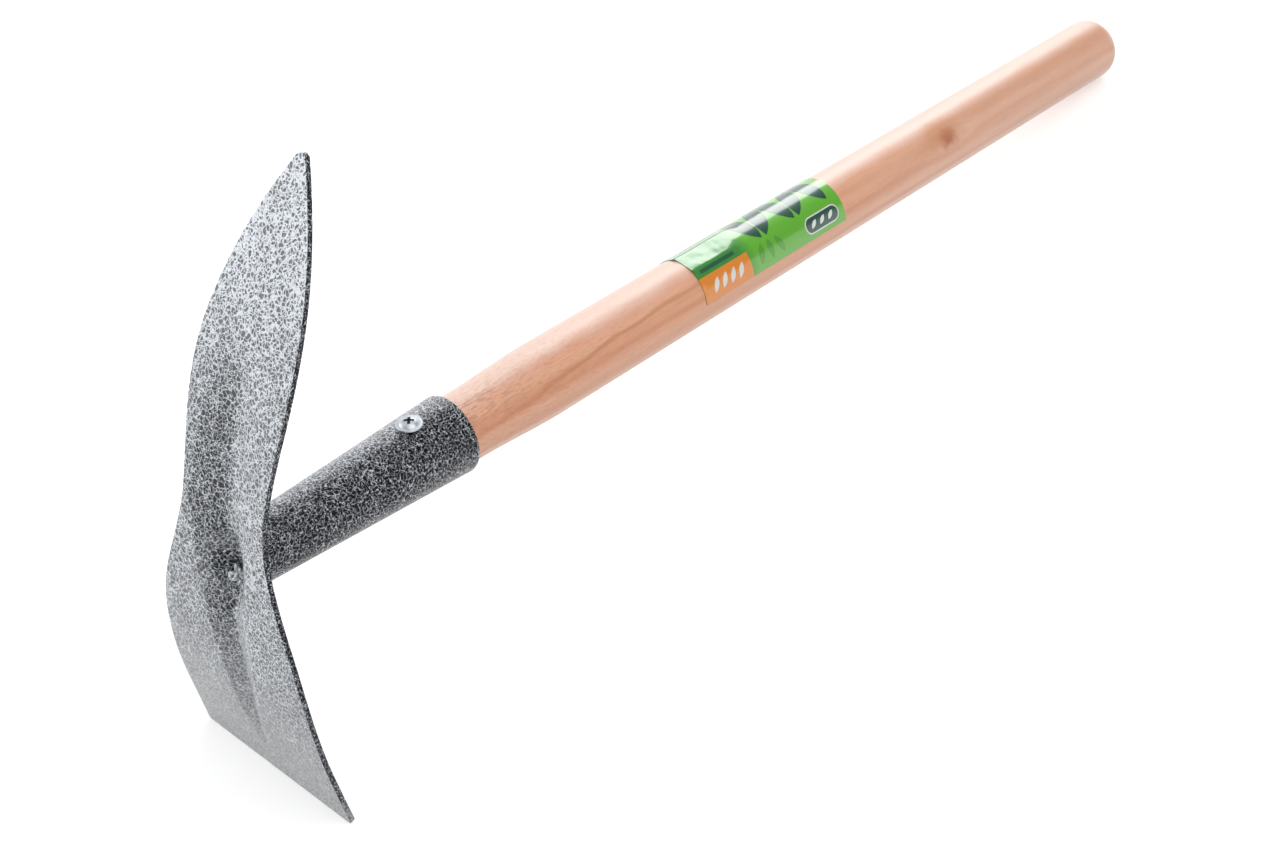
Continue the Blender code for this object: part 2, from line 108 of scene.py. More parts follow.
# More painted light on the pits low down, and in a ring round a spot in the dent
LOW_PAINTED_LIGHT = 0.64
LOW_START_SHARE = 0.65
LOW_END_SHARE = 1.08
DENT_SPOT = Vector((-261.0, 6.0, 109.0)) * MM
SPOT_RIM_RISE = (4 * MM, 9 * MM)
SPOT_RIM_FALL = (13 * MM, 20 * MM)
SPOT_RIM_PAINTED_LIGHT = 0.5

VEIN_COLOUR = (243, 248, 255)
# Colours of the pits in painted light and in painted shade
PAINTED_LIGHT_PIT_COLOUR = (113, 114, 117)
PAINTED_SHADE_PIT_COLOUR = (22, 23, 26)
DARK_VEIN_COLOUR = (238, 241, 246)
DARK_PIT_COLOUR = (22, 26, 35)
EVEN_DARK_COLOUR = (120, 121, 122)
EVEN_LIGHT_COLOUR = (214, 215, 216)
EVEN_STOPS = [(0.41, EVEN_DARK_COLOUR), (0.59, EVEN_LIGHT_COLOUR)]
VEIN_METAL = 0.25
PIT_METAL = 0.6
VEIN_ROUGHNESS = 0.5
PIT_ROUGHNESS = 0.3
VEIN_GLOSS = 0.4
PIT_GLOSS = 0.05

LUMP_PLACE = Vector((-261.4, 2.3, 105.0)) * MM
LUMP_FACING = Vector((-0.67, -0.64, 0.37))
LUMP_SHINE = Vector((-0.115, -0.551, 0.826))
LUMP_BREADTH = 1.5 * MM
LUMP_THICKNESS = 0.7 * MM
# Runs of paint in the lump, in millimetres and degrees: place along and across, length, turn
LUMP_RUNS = [
    (0.0, 0.0, 5.0, 35), (1.4, 1.2, 3.8, 80), (-1.6, 0.6, 3.6, -30), (1.8, -1.4, 3.2, 110),
    (-1.0, -2.0, 4.2, 150), (2.8, 0.4, 3.0, 10), (0.2, 3.0, 3.6, 60), (-2.6, -0.6, 3.0, 70),
    (0.8, -3.2, 3.4, 20),
]
LUMP_STOPS = [(0.3, EVEN_LIGHT_COLOUR), (0.5, (246, 250, 252))]


def placed(name, data):
    """A new object in the scene."""
    thing = bpy.data.objects.new(name, data)
    bpy.context.scene.collection.objects.link(thing)
    return thing


def finished_mesh(bm, name):
    """The mesh of a shape that is ready."""
    mesh = bpy.data.meshes.new(name)
    bm.to_mesh(mesh)
    bm.free()
    return mesh


def smoothed_solid(node_name):
    """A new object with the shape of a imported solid, its corners joined and shaded smooth."""
    bm = bmesh.new()
    bm.from_mesh(frame["nodes"][node_name].data)
    bmesh.ops.remove_doubles(bm, verts=bm.verts[:], dist=JOIN_DISTANCE)
    bm.verts.index_update()
    places = [vert.co.copy() for vert in bm.verts]
    corners = [[vert.index for vert in face.verts] for face in bm.faces]
    bm.free()
    mesh = bpy.data.meshes.new(node_name + "_dressed")
    mesh.from_pydata(places, [], corners)
    mesh.shade_smooth()
    mesh.set_sharp_from_angle(angle=CREASE_ANGLE)
    return placed(node_name + "_dressed", mesh)


def fit(piece, node_name, finishes):
    """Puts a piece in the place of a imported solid, with its finishes."""
    for finish in finishes:
        piece.data.materials.append(finish)
    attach(piece, "root")
    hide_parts(node_name)


def paint(colour):
    """A colour as a shader takes it, from the 0 to 255 numbers of a paint chart."""
    channels = []
    for value in colour:
        share = value / 255
        channels.append(share / 12.92 if share <= 0.04045 else ((share + 0.055) / 1.055) ** 2.4)
    return (*channels, 1.0)


def new_finish(name):
    """A material, its node tree and its main shader."""
    finish = bpy.data.materials.new(name)
    finish.use_nodes = True
    return finish, finish.node_tree, finish.node_tree.nodes["Principled BSDF"]


def feed(tree, node, inputs):
    """Sets a node's inputs by name or number, or links them where the value is an output."""
    for key, value in inputs.items():
        if isinstance(value, bpy.types.NodeSocket):
            tree.links.new(value, node.inputs[key])
        else:
            node.inputs[key].default_value = value


def add(tree, kind, inputs, **settings):
    """A new node with its settings and inputs."""
    node = tree.nodes.new("ShaderNode" + kind)
    for key, value in settings.items():
        setattr(node, key, value)
    feed(tree, node, inputs)
    return node


def number(tree, operation, *values):
    """The result of a sum on numbers."""
    return add(tree, "Math", dict(enumerate(values)), operation=operation).outputs[0]


def vector(tree, operation, *values):
    """The result of a sum on places or directions."""
    node = add(tree, "VectorMath", dict(enumerate(values)), operation=operation)
    gives_number = operation in ("DISTANCE", "DOT_PRODUCT", "LENGTH")
    return node.outputs["Value" if gives_number else "Vector"]


def carried(tree, value, start, end, low=0.0, high=1.0, eased=False):
    """A value carried over from start and end to low and high, and held past both."""
    return add(
        tree, "MapRange",
        {"Value": value, "From Min": start, "From Max": end, "To Min": low, "To Max": high},
        interpolation_type="SMOOTHSTEP" if eased else "LINEAR",
    ).outputs["Result"]


def clouds(tree, place, scale, detail=2.0, roughness=0.5):
    """Cloudy values about a half."""
    inputs = {"Vector": place, "Scale": scale, "Detail": detail, "Roughness": roughness}
    return add(tree, "TexNoise", inputs).outputs["Fac"]


def grade(tree, value, stops):
    """Colours over a value from 0 to 1, as stops of place and colour."""
    ramp = add(tree, "ValToRGB", {"Fac": value})
    marks = ramp.color_ramp.elements
    while len(marks) < len(stops):
        marks.new(0.5)
    for mark, (place, colour) in zip(marks, stops):
        mark.position = place
        mark.color = paint(colour)
    return ramp.outputs["Color"]


def mixed(tree, share, under, over, blend="MIX"):
    """One colour laid over another by a share from 0 to 1."""
    inputs = {"Factor": share, 6: under, 7: over}
    return add(tree, "Mix", inputs, data_type="RGBA", blend_type=blend).outputs[2]


def nearest_vein(tree, place, pit_width):
    """Distance to the nearest vein between large and small pits that wander."""
    wander = add(
        tree, "TexNoise", {"Vector": place, "Scale": PIT_WANDER_SCALE / pit_width, "Detail": 3.0},
    ).outputs["Color"]
    reach = PIT_WANDER_SHARE * pit_width
    bent = vector(tree, "MULTIPLY_ADD", wander, (reach, reach, reach), place)
    stretched = vector(tree, "MULTIPLY", bent, (1.0, 1.0, PIT_STRETCH))
    distances = []
    for width in (pit_width, pit_width * SMALL_PIT_SHARE):
        pits = add(
            tree, "TexVoronoi", {"Vector": stretched, "Scale": 1 / width},
            feature="DISTANCE_TO_EDGE",
        )
        distances.append(pits.outputs["Distance"])
    large, small = distances
    return number(tree, "MINIMUM", large, number(tree, "MULTIPLY", small, SMALL_PIT_SHARE))


def painted_light_share(tree, place, height, even_height, painted_shade_facing):
    """How much painted light the pits get, against painted shade: most on faces turned towards
    the left panel, a good deal low down, and some in a ring round a spot in the dent.
    """
    lean = add(tree, "NewGeometry", {}).outputs["Normal"]
    towards_light = vector(tree, "DOT_PRODUCT", lean, PAINTED_LIGHT_FROM)
    facing = carried(tree, towards_light, painted_shade_facing, painted_shade_facing + PAINTED_SHADE_FADE, eased=True)
    low_start = even_height * LOW_START_SHARE
    low = carried(tree, height, low_start, even_height * LOW_END_SHARE, LOW_PAINTED_LIGHT, 0.0)
    from_spot = vector(tree, "DISTANCE", place, DENT_SPOT)
    past_spot = carried(tree, from_spot, *SPOT_RIM_RISE, 0.0, SPOT_RIM_PAINTED_LIGHT, eased=True)
    round_spot = carried(tree, from_spot, *SPOT_RIM_FALL, 1.0, 0.0)
    rim = number(tree, "MULTIPLY", past_spot, round_spot)
    return number(tree, "MAXIMUM", number(tree, "MAXIMUM", facing, low), rim)


def hammered_enamel(name, pit_width, pit_share, colours, heights, painted_shade_facing):
    """Enamel with pale raised veins round small pits, whose painted shade opens them wider and
    darker on faces turned away from the left panel. Its colours are those of the veins, of pits
    in painted light and of pits in painted shade. From the first height down to the cutting
    edge it grows even and grey, and above the second its veins spread.
    """
    vein, thick_pit, thin_pit = colours
    even_height, leaf_height = heights
    finish, tree, shader = new_finish(name)
    place = add(tree, "TexCoord", {}).outputs["Object"]
    height = add(tree, "SeparateXYZ", {"Vector": place}).outputs["Z"]
    # How much painted light, against painted shade, the pits get here
    painted_light = painted_light_share(tree, place, height, even_height, painted_shade_facing)
    light_narrowing = PAINTED_LIGHT_PIT_SHARE - PAINTED_SHADE_PIT_SHARE
    shade_widening = number(tree, "MULTIPLY_ADD", painted_light, light_narrowing, PAINTED_SHADE_PIT_SHARE)
    leafward = carried(tree, height, leaf_height, leaf_height + LEAF_FADE_HEIGHT, eased=True)
    spread = number(tree, "MULTIPLY_ADD", leafward, LEAF_PIT_SHARE - 1, 1.0)
    patches = clouds(tree, place, 1 / PATCH_WIDTH)
    opening = number(tree, "MULTIPLY_ADD", patches, pit_share, pit_share)
    opening = number(tree, "MULTIPLY", opening, spread)
    opening = number(tree, "MULTIPLY", opening, shade_widening)
    specks = clouds(tree, place, 1 / SPECK_WIDTH)
    ragged = number(
        tree, "MULTIPLY_ADD", number(tree, "SUBTRACT", specks, 0.5), SPECK_SHARE,
        nearest_vein(tree, place, pit_width),
    )
    into_pit = number(tree, "MULTIPLY", ragged, opening)
    # Pits darker in painted shade, paler in painted light
    shaded_network = grade(tree, into_pit, [(VEIN_END, vein), (PIT_START, thin_pit)])
    lit_network = grade(tree, into_pit, [(VEIN_END, vein), (PIT_START, thick_pit)])
    network = mixed(tree, painted_light, shaded_network, lit_network)
    cover = carried(tree, height, 0.0, even_height, EDGE_COVER, 1.0, eased=True)
    colour = mixed(tree, cover, grade(tree, specks, EVEN_STOPS), network)
    depth = carried(tree, into_pit, SLOPE_START, SLOPE_END, eased=True)
    relief = number(tree, "MULTIPLY", number(tree, "SUBTRACT", 1.0, depth), cover)
    bump = add(tree, "Bump", {"Height": relief, "Strength": 0.8, "Distance": PIT_DEPTH})
    feed(tree, shader, {
        "Base Color": colour,
        "Metallic": carried(tree, depth, 0.0, 1.0, VEIN_METAL, PIT_METAL),
        "Roughness": carried(tree, depth, 0.0, 1.0, VEIN_ROUGHNESS, PIT_ROUGHNESS),
        "Specular IOR Level": 0.25,
        "Coat Weight": carried(tree, depth, 0.0, 1.0, VEIN_GLOSS, PIT_GLOSS),
        "Coat Roughness": 0.3,
        "Normal": bump.outputs["Normal"],
    })
    return finish


def dress_blade():
    sheet_enamel = hammered_enamel(
        "sheet enamel", SHEET_PIT_WIDTH, SHEET_PIT_SHARE,
        (VEIN_COLOUR, PAINTED_LIGHT_PIT_COLOUR, PAINTED_SHADE_PIT_COLOUR),
        (SHEET_EVEN_HEIGHT, SHEET_LEAF_HEIGHT), SHEET_PAINTED_SHADE_FACING,
    )
    # Darker enamel for the sheared rim, as painted shade
    rim_painted_shade_enamel = hammered_enamel(
        "rim enamel with painted shade", DARK_PIT_WIDTH, RIM_PAINTED_SHADE_PIT_SHARE,
        (DARK_VEIN_COLOUR, DARK_PIT_COLOUR, DARK_PIT_COLOUR),
        (DARK_EVEN_HEIGHT, ABOVE_TOOL), SHEET_PAINTED_SHADE_FACING,
    )
    blade = smoothed_solid("blade")
    blade.modifiers.new("broad faces lead", "WEIGHTED_NORMAL").keep_sharp = True
    fit(blade, "blade", [sheet_enamel, rim_painted_shade_enamel])
    # The sheared rim's faces get the darker enamel: painted shade
    for face in blade.data.polygons:
        beside_dent = abs(face.center.y) > DENT_REACH or face.center.z > DENT_TOP
        if beside_dent and abs(face.normal.y) > RIM_LEAN:
            face.material_index = 1


def thick_enamel():
    finish, tree, shader = new_finish("thick pale enamel")
    place = add(tree, "TexCoord", {}).outputs["Object"]
    colour = grade(tree, clouds(tree, place, 1 / SPECK_WIDTH), LUMP_STOPS)
    feed(tree, shader, {"Base Color": colour, "Metallic": 0.55, "Roughness": 0.25})
    return finish


def paint_lump():
    """Short thick runs of paint caught in the dent at the neck."""
    facing = LUMP_FACING.to_track_quat("Z", "Y")
    shine = LUMP_SHINE.to_track_quat("Z", "Y").to_matrix().to_4x4()
    bm = bmesh.new()
    for along, across, length, turn in LUMP_RUNS:
        place = Matrix.Translation(LUMP_PLACE + facing @ (Vector((along, across, 0.0)) * MM))
        turned = Matrix.Rotation(math.radians(turn), 4, "Z")
        size = Matrix.Diagonal((length * MM, LUMP_BREADTH, LUMP_THICKNESS, 1.0))
        bmesh.ops.create_icosphere(
            bm, subdivisions=2, radius=0.5, matrix=place @ shine @ turned @ size,
        )
    mesh = finished_mesh(bm, "paint_lump")
    mesh.shade_smooth()
    mesh.materials.append(thick_enamel())
    lump = placed("paint_lump", mesh)
    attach(lump, "root")


dress_blade()
paint_lump()


# Socket
# A tapered steel tube that grips the handle, with a rounded lip at its mouth and a hole for
# the screw. It is painted with the blade after welding, and its enamel has darker pits, paler
# with painted light on the side turned towards the left panel.

DARK_PIT_SHARE = 1.45
# Painted light pales the pits on the side turned towards the left panel
SOCKET_PAINTED_SHADE_FACING = -0.04
SOCKET_PAINTED_LIGHT_PIT_COLOUR = (104, 108, 114)

dark_enamel = hammered_enamel(
    "dark enamel", DARK_PIT_WIDTH, DARK_PIT_SHARE,
    (DARK_VEIN_COLOUR, SOCKET_PAINTED_LIGHT_PIT_COLOUR, DARK_PIT_COLOUR),
    (DARK_EVEN_HEIGHT, ABOVE_TOOL), SOCKET_PAINTED_SHADE_FACING,
)
fit(smoothed_solid("socket"), "socket", [dark_enamel])


# Weld
# A fillet of weld metal run round the end of the socket on the back of the blade, left with
# the ripples of the torch and painted over.

RIPPLES = 58
RIPPLE_HEIGHT = 0.22 * MM
RIPPLE_DRIFT = 1.3
DRIFTS_ROUND_WELD = 3
HANDLE_REACH = 438 * MM

end_face = next(mount for mount in frame["record"]["mounts"] if mount["name"] == "handle_end")
along_handle = Vector(end_face["axis"]).normalized()
across_tool = Vector((0.0, 1.0, 0.0))
up_leaf = along_handle.cross(across_tool)
mouth = Vector(end_face["pos_m"]) - along_handle * HANDLE_REACH
tool_turn = Matrix((along_handle, across_tool, up_leaf)).transposed().to_4x4()
tool_axes = Matrix.Translation(mouth) @ tool_turn


def rippled_weld():
    weld = smoothed_solid("weld_bead")
    to_tool = tool_axes.inverted()
    bm = bmesh.new()
    bm.from_mesh(weld.data)
    bmesh.ops.subdivide_edges(bm, edges=bm.edges[:], cuts=1, use_grid_fill=True)
    bm.normal_update()
    for vert in bm.verts:
        local = to_tool @ vert.co
        turn = math.atan2(local.y, local.z)
        ripple = math.sin(RIPPLES * turn + RIPPLE_DRIFT * math.sin(DRIFTS_ROUND_WELD * turn)) - 1
        vert.co += vert.normal * RIPPLE_HEIGHT / 2 * ripple
    bm.to_mesh(weld.data)
    bm.free()
    weld.data.shade_smooth()
    return weld


fit(rippled_weld(), "weld_bead", [dark_enamel])


# Handle
# Pale reddish hardwood turned on a lathe: a tang driven into the socket, a swell just past
# the mouth, a long grip that thins a little, and a domed end. Its figure runs lengthwise
# round one knot, and the fibres by the mouth are crushed where the tang went in.

HANDLE_FULL_DIAMETER = 31.4 * MM
HANDLE_END_DIAMETER = 28.8 * MM
HANDLE_NECK_LENGTH = 6 * MM
HANDLE_SWELL_LENGTH = 44 * MM
HANDLE_END_ROUNDING = 9 * MM
END_FACE_BORDER = 0.4 * MM
NECK_DIAMETER = 28.4 * MM
TANG_LENGTH = 76 * MM
TANG_END_DIAMETER = 21.8 * MM
TANG_CHAMFER = 2 * MM
HANDLE_SIDES = 128
GRIP_STEP = 4 * MM
NECK_STEP = 1 * MM
DOME_STEPS = 14
CRUSHED_LENGTH = 38 * MM
CRUSHED_DEPTH = 0.16 * MM
CRUSHED_TURN = math.radians(26)
CRUSHED_FLUTES = 60
CRUSHED_BREAK = 1.9 * MM
FIBRE_DEPTH = 0.08 * MM

# From here, lengths are in millimetres on the tool. Turns start on top of the handle and go
# to its far side, but those of the crushed fibres and the knot go to its near side
MEAN_RADIUS = 15.3
GRAIN_START = (0.0, 9.0, 26.0)
GRAIN_LEAN = (0.0, 0.03, -0.045)
GRAIN_LENGTH_SHARE = 0.045
RING_STOPS = [
    (0.0, (253, 194, 158)), (0.5, (250, 187, 150)), (0.85, (244, 174, 136)), (1.0, (232, 158, 118)),
]
BLUSH_SPAN = (0.40, 0.66)
BLUSH_COLOUR = (240, 170, 130)
FIBRE_STRENGTH = 0.6
FIBRE_STOPS = [(0.3, (236, 224, 216)), (0.62, (255, 255, 255))]
PORE_STOPS = [(0.34, (222, 200, 186)), (0.48, (255, 255, 255))]
PORE_LENGTH_SHARE = 0.22
PORE_FADE = (20.0, 120.0)
PORE_STRENGTHS = (0.45, 0.08)
# A painted sheen that pales the top of the handle, and a paler tone towards its far end
PAINTED_SHEEN_TURN = math.radians(28)
PAINTED_SHEEN_EDGE = (0.45, 1.15)
PAINTED_SHEEN_SWAY = 0.5
PAINTED_SHEEN_STRENGTH = 0.8
PAINTED_SHEEN_PALE_END_COLOUR = (251, 222, 207)
FAR_PALE_FADE = (200.0, 330.0)
FAR_PALE_STRENGTH = 0.22
STREAK_START_TURN = math.radians(-73)
STREAK_END_TURN = math.radians(-44)
STREAK_BEND_LENGTH = 96
STREAK_SWAY = 0.24
STREAK_WIDTH = 1.15
STREAK_EDGE = 1.6
STREAK_STRENGTH = 0.62
STREAK_MOUTH_STRENGTH = 0.45
STREAK_FADE_IN = (0.0, 60.0)
STREAK_FADE_OUT = (110.0, 190.0)
STREAK_COLOUR = (206, 126, 82)
FAR_BAND_TURN = math.radians(-27)
FAR_BAND_EDGE = (0.04, 0.42)
FAR_BAND_SWAY = 0.3
FAR_BAND_STRENGTH = 0.42
FAR_BAND_FADE = (255.0, 330.0)
FAR_BAND_COLOUR = (222, 160, 124)
END_FADE = (429.0, 436.0)
CRUSHED_EDGE = (0.1, 0.75)
CRUSHED_FADE_START = 4.0
CRUSHED_LENGTH_SHARE = 0.2
CRUSHED_SPAN = (0.48, 0.58)
CRUSHED_STRENGTH = 0.5
CRUSHED_COLOUR = (172, 98, 58)
KNOT_FROM_MOUTH = 301
KNOT_TURN = math.radians(51)
KNOT_LENGTH_SHARE = 0.3
KNOT_PUSH = 0.9
KNOT_PUSH_SPAN = (1.0, 11.0)
KNOT_TEAR = 6.0
KNOT_CORE = 0.5
# Patches of the knot: shift along, rise, lengthwise squeeze, reach, strength and colour
KNOT_RINGS = [
    (14, 1.0, 0.3, 6.0, 0.45, (226, 156, 108)), (2, 3.8, 0.6, 10.0, 0.7, (218, 146, 98)),
    (0, 0.0, 0.75, 6.5, 0.85, (190, 104, 66)),
]


def spaced(start, end, step):
    """Evenly spaced places from start to end."""
    count = max(1, round(abs(end - start) / step))
    return [start + (end - start) * i / count for i in range(count + 1)]


def grip_radius(x):
    """Radius of the handle past its swell."""
    start = HANDLE_NECK_LENGTH + HANDLE_SWELL_LENGTH
    share = (x - start) / (HANDLE_REACH - HANDLE_END_ROUNDING - start)
    return (HANDLE_FULL_DIAMETER + (HANDLE_END_DIAMETER - HANDLE_FULL_DIAMETER) * share) / 2


def handle_radius(x):
    """Radius of the handle anywhere between its tang and its domed end."""
    if x < 0:
        share = -x / (TANG_LENGTH - TANG_CHAMFER)
        return (NECK_DIAMETER + (TANG_END_DIAMETER - NECK_DIAMETER) * share) / 2
    share = min(max((x - HANDLE_NECK_LENGTH) / HANDLE_SWELL_LENGTH, 0.0), 1.0)
    if share < 1:
        eased = share * share * (3 - 2 * share)
        return (NECK_DIAMETER + (HANDLE_FULL_DIAMETER - NECK_DIAMETER) * eased) / 2
    return grip_radius(x)


def crushed(x, turn):
    """Depth of the crushed fibres by the mouth, as flutes that waver and break unevenly."""
    if x < 0 or x > CRUSHED_LENGTH:
        return 0.0
    fade = (1 - x / CRUSHED_LENGTH) ** 1.5
    side = max(math.cos(turn - CRUSHED_TURN), 0.0) ** 2
    waver = 5 * math.sin(x / MM / 7) + 2.4 * math.sin(11 * turn)
    flutes = 0.5 + 0.5 * math.sin(CRUSHED_FLUTES * turn + waver)
    breaks = 0.5 + 0.5 * math.sin(x / CRUSHED_BREAK + 9 * turn)
    return CRUSHED_DEPTH * fade * side * flutes * breaks


def handle_profile():
    """Places along the handle and its radius there, from the tang to the flat of the end."""
    swell_end = HANDLE_NECK_LENGTH + HANDLE_SWELL_LENGTH
    dome_start = HANDLE_REACH - HANDLE_END_ROUNDING
    places = spaced(TANG_CHAMFER - TANG_LENGTH, -1 * MM, GRIP_STEP)
    places += spaced(0.0, swell_end, NECK_STEP)
    places += spaced(swell_end, dome_start, GRIP_STEP)[1:]
    rings = [(-TANG_LENGTH, TANG_END_DIAMETER / 2 - TANG_CHAMFER)]
    rings += [(x, handle_radius(x)) for x in places]
    for i in range(1, DOME_STEPS + 1):
        angle = math.pi / 2 * i / DOME_STEPS
        radius = HANDLE_END_DIAMETER / 2 - HANDLE_END_ROUNDING * (1 - math.cos(angle))
        rings.append((dome_start + HANDLE_END_ROUNDING * math.sin(angle), radius))
    rings.append((HANDLE_REACH, radius - END_FACE_BORDER))
    return rings


def turned_handle():
    bm = bmesh.new()
    loops = []
    for x, radius in handle_profile():
        loop = []
        for i in range(HANDLE_SIDES):
            turn = 2 * math.pi * i / HANDLE_SIDES
            here = radius - crushed(x, -turn)
            place = Vector((x, here * math.sin(turn), here * math.cos(turn)))
            loop.append(bm.verts.new(tool_axes @ place))
        loops.append(loop)
    for low, high in zip(loops, loops[1:]):
        for i in range(HANDLE_SIDES):
            j = (i + 1) % HANDLE_SIDES
            bm.faces.new((low[i], low[j], high[j], high[i]))
    bm.faces.new(loops[0])
    bm.faces.new(reversed(loops[-1]))
    bmesh.ops.recalc_face_normals(bm, faces=bm.faces[:])
    mesh = finished_mesh(bm, "handle_dressed")
    mesh.shade_smooth()
    mesh.set_sharp_from_angle(angle=CREASE_ANGLE)
    return placed("handle_dressed", mesh)


def tool_place(tree):
    """Places on the tool in millimetres: X from the mouth along the handle, Y across, Z to the
    leaf.
    """
    here = add(tree, "TexCoord", {}).outputs["Object"]
    turned = add(
        tree, "Mapping",
        {"Vector": here, "Location": mouth, "Rotation": tool_axes.to_euler(),
         "Scale": (MM, MM, MM)},
        vector_type="TEXTURE",
    )
    return turned.outputs["Vector"]


def swayed(tree, value, sway, amount):
    """A value moved either way by up to half an amount, as a cloudy sway goes."""
    return number(tree, "ADD", value, number(tree, "MULTIPLY_ADD", sway, amount, -amount / 2))


def short_of_end(tree, along):
    """One along the grip, and fading to nought over the domed end, where all turns meet."""
    return carried(tree, along, *END_FADE, 1.0, 0.0)


def painted_top_sheen_and_pale_end(tree, place, along, turn):
    """Strength of a painted sheen on top of the handle, and of a paler tone all round its far end."""
    sway = clouds(tree, place, 0.05)
    aside = number(tree, "ABSOLUTE", number(tree, "SUBTRACT", turn, PAINTED_SHEEN_TURN))
    aside = swayed(tree, aside, sway, PAINTED_SHEEN_SWAY)
    on_top = carried(tree, aside, *PAINTED_SHEEN_EDGE, PAINTED_SHEEN_STRENGTH, 0.0, eased=True)
    on_top = number(tree, "MULTIPLY", on_top, short_of_end(tree, along))
    far_out = carried(tree, along, *FAR_PALE_FADE, 0.0, FAR_PALE_STRENGTH)
    return number(tree, "MAXIMUM", on_top, far_out)


def brown_streak(tree, place, along, turn):
    """Strength of the one darker streak, which runs from low by the mouth up to the label."""
    sway = clouds(tree, place, 0.06, 1.0)
    middle = carried(
        tree, along, 0.0, STREAK_BEND_LENGTH, STREAK_START_TURN, STREAK_END_TURN, eased=True,
    )
    middle = swayed(tree, middle, sway, STREAK_SWAY)
    aside = number(tree, "ABSOLUTE", number(tree, "SUBTRACT", turn, middle))
    width = number(tree, "MULTIPLY_ADD", sway, 1.4 * STREAK_WIDTH, 0.3 * STREAK_WIDTH)
    share = number(tree, "DIVIDE", number(tree, "MULTIPLY", aside, MEAN_RADIUS), width)
    inside = carried(tree, share, 0.0, STREAK_EDGE, STREAK_STRENGTH, 0.0, eased=True)
    fade_in = carried(tree, along, *STREAK_FADE_IN, STREAK_MOUTH_STRENGTH, 1.0)
    fade_out = carried(tree, along, *STREAK_FADE_OUT, 1.0, 0.0)
    return number(tree, "MULTIPLY", inside, number(tree, "MULTIPLY", fade_in, fade_out))


def far_band(tree, place, along, turn):
    """Strength of the soft darker band, which runs from the knot to the domed end."""
    sway = clouds(tree, place, 0.04)
    aside = swayed(tree, number(tree, "SUBTRACT", turn, FAR_BAND_TURN), sway, FAR_BAND_SWAY)
    aside = number(tree, "ABSOLUTE", aside)
    inside = carried(tree, aside, *FAR_BAND_EDGE, FAR_BAND_STRENGTH, 0.0, eased=True)
    fade = carried(tree, along, *FAR_BAND_FADE)
    fade = number(tree, "MULTIPLY", fade, short_of_end(tree, along))
    return number(tree, "MULTIPLY", inside, fade)


def crushed_fibres(tree, place, along, turn):
    """Strength of the short dark lines where fibres are crushed, on top by the mouth."""
    aside = number(tree, "ABSOLUTE", number(tree, "ADD", turn, CRUSHED_TURN))
    side = carried(tree, aside, *CRUSHED_EDGE, 1.0, 0.0, eased=True)
    fade = carried(tree, along, CRUSHED_FADE_START, CRUSHED_LENGTH / MM, 1.0, 0.0)
    long_way = vector(tree, "MULTIPLY", place, (CRUSHED_LENGTH_SHARE, 1.0, 1.0))
    lines = carried(tree, clouds(tree, long_way, 1.2, 2.0, 0.6), *CRUSHED_SPAN, 0.0, CRUSHED_STRENGTH)
    return number(tree, "MULTIPLY", lines, number(tree, "MULTIPLY", side, fade))


def round_knot(tree, place, from_knot):
    """Places pushed aside by the knot, so that the grain flows round it."""
    squeezed = vector(tree, "MULTIPLY", from_knot, (KNOT_LENGTH_SHARE, 1.0, 1.0))
    near_knot = add(
        tree, "MapRange",
        {"Value": vector(tree, "LENGTH", squeezed), "From Min": KNOT_PUSH_SPAN[0],
         "From Max": KNOT_PUSH_SPAN[1], "To Min": 1.0, "To Max": 0.0},
        interpolation_type="SMOOTHERSTEP",
    ).outputs["Result"]
    push = add(tree, "VectorMath", {0: squeezed, "Scale": near_knot}, operation="SCALE")
    return vector(tree, "MULTIPLY_ADD", push.outputs[0], (0.0, -KNOT_PUSH, -KNOT_PUSH), place)


def growth_rings(tree, long_way):
    """Colour of the wood's rings, with a warmer blush here and there."""
    rings = add(
        tree, "TexWave",
        {"Vector": long_way, "Scale": 0.034, "Distortion": 3.2, "Detail": 2.0, "Detail Scale": 2.4},
        wave_type="RINGS", rings_direction="X",
    ).outputs["Fac"]
    blush = carried(tree, clouds(tree, long_way, 0.14, 3.0), *BLUSH_SPAN)
    return mixed(tree, blush, grade(tree, rings, RING_STOPS), paint(BLUSH_COLOUR))


def knotted(tree, place, from_knot, colour):
    """The wood's colour with the knot's torn brown patches laid over it."""
    torn = add(tree, "TexNoise", {"Vector": place, "Scale": 0.2, "Detail": 2.0}).outputs["Color"]
    torn = vector(tree, "SUBTRACT", torn, (0.5, 0.5, 0.5))
    torn = vector(tree, "MULTIPLY_ADD", torn, (KNOT_TEAR, KNOT_TEAR, KNOT_TEAR), from_knot)
    for shift, rise, squeeze, reach, strength, patch_colour in KNOT_RINGS:
        aside = (shift * squeeze, -rise * math.cos(KNOT_TURN), -rise * math.sin(KNOT_TURN))
        about = add(
            tree, "Mapping", {"Vector": torn, "Location": aside, "Scale": (squeeze, 1.0, 1.0)},
        ).outputs["Vector"]
        distance = vector(tree, "LENGTH", about)
        inside = carried(tree, distance, KNOT_CORE, reach, strength, 0.0, eased=True)
        colour = mixed(tree, inside, colour, paint(patch_colour))
    return colour


